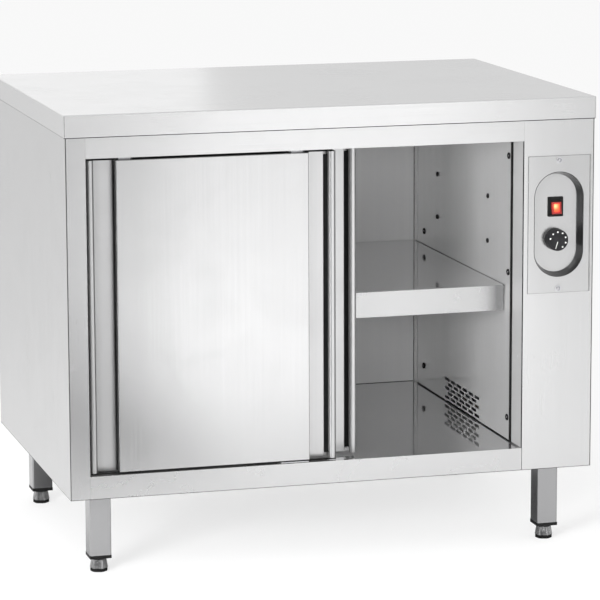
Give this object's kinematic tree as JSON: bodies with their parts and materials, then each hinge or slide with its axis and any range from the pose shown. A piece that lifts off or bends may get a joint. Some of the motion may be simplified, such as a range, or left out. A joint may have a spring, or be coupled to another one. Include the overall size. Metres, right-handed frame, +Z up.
{
  "type": "warming cabinet",
  "caption": "Stainless steel warming cabinet on square legs with adjustable feet: plain worktop, sliding doors with recessed grips, inner shelf, air grille, and a control column.",
  "frame": {"origin": "on the floor, under the middle of the worktop (centre of the bounding box's bottom face)", "axes": "+Z up; the doors and controls face -Y; +X to the right seen from the front, so the control column is on +X"},
  "size_m": [1, 0.7, 0.85],
  "materials": {
    "stainless_brushed": "brushed stainless steel, satin, grain along the sheet",
    "stainless_lining": "stainless steel lining, bright",
    "stainless_turned": "turned or drawn stainless steel, semi-bright",
    "zinc_steel": "zinc-coated steel and aluminium sheet, matt",
    "black_plastic": "black moulded plastic, matt",
    "black_rubber": "black rubber, matt",
    "grey_plastic": "light grey slippery plastic, matt",
    "knob_plastic": "charcoal plastic, fine matt, with light printed marks",
    "rocker_plastic": "translucent red plastic, glossy, lit from inside",
    "sensor_copper": "copper, drawn",
    "motor_paint": "dark grey painted metal",
    "element_steel": "heat-darkened steel sheath",
    "mineral_wool": "pressed mineral wool, fibrous"
  },
  "bodies": {
    "cabinet": {"worktop": "stainless_brushed", "worktop_stiffeners": "zinc_steel", "left_side_panel": "stainless_brushed", "right_side_panel": "stainless_brushed", "top_rail": "stainless_brushed", "floor_pan": "stainless_brushed", "underside_panel": "stainless_lining", "back_panel": "stainless_lining", "service_cover": "stainless_lining", "left_inner_wall": "stainless_lining", "partition_wall": "stainless_lining", "inner_back_wall": "stainless_lining", "inner_ceiling": "stainless_lining", "insulation_boards": "mineral_wool", "leg_end_caps": "black_plastic", "door_track": "stainless_lining", "door_buffers": "black_rubber", "bottom_guide": "grey_plastic", "shelf_pegs": "stainless_turned", "screws": "stainless_turned", "control_plate": "stainless_brushed", "switch_housing": "black_plastic", "thermostat_body": "zinc_steel", "thermostat_sensor": "sensor_copper", "terminal_block": "black_plastic", "cable_gland": "black_plastic", "fan_housing": "zinc_steel", "fan_motor": "motor_paint", "heating_element": "element_steel", "leg_front_left": "stainless_brushed", "leg_front_right": "stainless_brushed", "leg_rear_left": "stainless_brushed", "leg_rear_right": "stainless_brushed"},
    "front_door": {"front_door_outer_skin": "stainless_brushed", "front_door_inner_skin": "stainless_lining", "front_door_grips": "stainless_brushed", "front_door_grip_liners": "black_plastic", "front_door_hangers": "stainless_turned"},
    "rear_door": {"rear_door_outer_skin": "stainless_brushed", "rear_door_inner_skin": "stainless_lining", "rear_door_grips": "stainless_brushed", "rear_door_grip_liners": "black_plastic", "rear_door_hangers": "stainless_turned"},
    "shelf": {"shelf": "stainless_brushed"},
    "switch_rocker": {"switch_rocker": "rocker_plastic"},
    "thermostat_knob": {"thermostat_knob": "knob_plastic", "thermostat_shaft": "stainless_turned"},
    "fan_impeller": {"fan_impeller": "zinc_steel"},
    "front_door_left_rollers": {"front_door_left_rollers": "grey_plastic"},
    "front_door_right_rollers": {"front_door_right_rollers": "grey_plastic"},
    "rear_door_left_rollers": {"rear_door_left_rollers": "grey_plastic"},
    "rear_door_right_rollers": {"rear_door_right_rollers": "grey_plastic"},
    "foot_front_left": {"foot_spindle_front_left": "stainless_turned", "foot_pad_front_left": "black_rubber"},
    "foot_front_right": {"foot_spindle_front_right": "stainless_turned", "foot_pad_front_right": "black_rubber"},
    "foot_rear_left": {"foot_spindle_rear_left": "stainless_turned", "foot_pad_rear_left": "black_rubber"},
    "foot_rear_right": {"foot_spindle_rear_right": "stainless_turned", "foot_pad_rear_right": "black_rubber"}
  },
  "joints": [
    {"name": "front_door_slide", "type": "slide", "parent": "cabinet", "child": "front_door", "axis": [1, 0, 0], "range_m": [0, 0.354]},
    {"name": "front_door_left_rollers_turn", "type": "hinge", "parent": "front_door", "child": "front_door_left_rollers", "pos_m": [-0.3865, -0.3275, 0.7916], "axis": [0, 1, 0], "range_deg": [0, 2256]},
    {"name": "front_door_right_rollers_turn", "type": "hinge", "parent": "front_door", "child": "front_door_right_rollers", "pos_m": [-0.0675, -0.3275, 0.7916], "axis": [0, 1, 0], "range_deg": [0, 2256]},
    {"name": "rear_door_slide", "type": "slide", "parent": "cabinet", "child": "rear_door", "axis": [1, 0, 0], "range_m": [0, 0.3055]},
    {"name": "rear_door_left_rollers_turn", "type": "hinge", "parent": "rear_door", "child": "rear_door_left_rollers", "pos_m": [-0.338, -0.2955, 0.7916], "axis": [0, 1, 0], "range_deg": [0, 1947]},
    {"name": "rear_door_right_rollers_turn", "type": "hinge", "parent": "rear_door", "child": "rear_door_right_rollers", "pos_m": [-0.019, -0.2955, 0.7916], "axis": [0, 1, 0], "range_deg": [0, 1947]},
    {"name": "shelf_lift", "type": "slide", "parent": "cabinet", "child": "shelf", "axis": [0, 0, 1], "range_m": [0, 0.06]},
    {"name": "rocker_tilt", "type": "hinge", "parent": "cabinet", "child": "switch_rocker", "pos_m": [0.42925, -0.3285, 0.6427], "axis": [1, 0, 0], "range_deg": [0, 20]},
    {"name": "knob_turn", "type": "hinge", "parent": "cabinet", "child": "thermostat_knob", "pos_m": [0.42925, -0.329, 0.5835], "axis": [0, 1, 0], "range_deg": [0, 270]},
    {"name": "fan_spin", "type": "hinge", "parent": "cabinet", "child": "fan_impeller", "pos_m": [0.441, 0, 0.262], "axis": [0, 1, 0], "continuous": true},
    {"name": "foot_front_left_adjust", "type": "slide", "parent": "cabinet", "child": "foot_front_left", "axis": [0, 0, -1], "range_m": [0, 0.025]},
    {"name": "foot_front_right_adjust", "type": "slide", "parent": "cabinet", "child": "foot_front_right", "axis": [0, 0, -1], "range_m": [0, 0.025]},
    {"name": "foot_rear_left_adjust", "type": "slide", "parent": "cabinet", "child": "foot_rear_left", "axis": [0, 0, -1], "range_m": [0, 0.025]},
    {"name": "foot_rear_right_adjust", "type": "slide", "parent": "cabinet", "child": "foot_rear_right", "axis": [0, 0, -1], "range_m": [0, 0.025]}
  ],
  "couplings": [
    {"joint": "front_door_left_rollers_turn", "follows": "front_door_slide", "rad_per_m": 111.11},
    {"joint": "front_door_right_rollers_turn", "follows": "front_door_slide", "rad_per_m": 111.11},
    {"joint": "rear_door_left_rollers_turn", "follows": "rear_door_slide", "rad_per_m": 111.11},
    {"joint": "rear_door_right_rollers_turn", "follows": "rear_door_slide", "rad_per_m": 111.11}
  ]
}
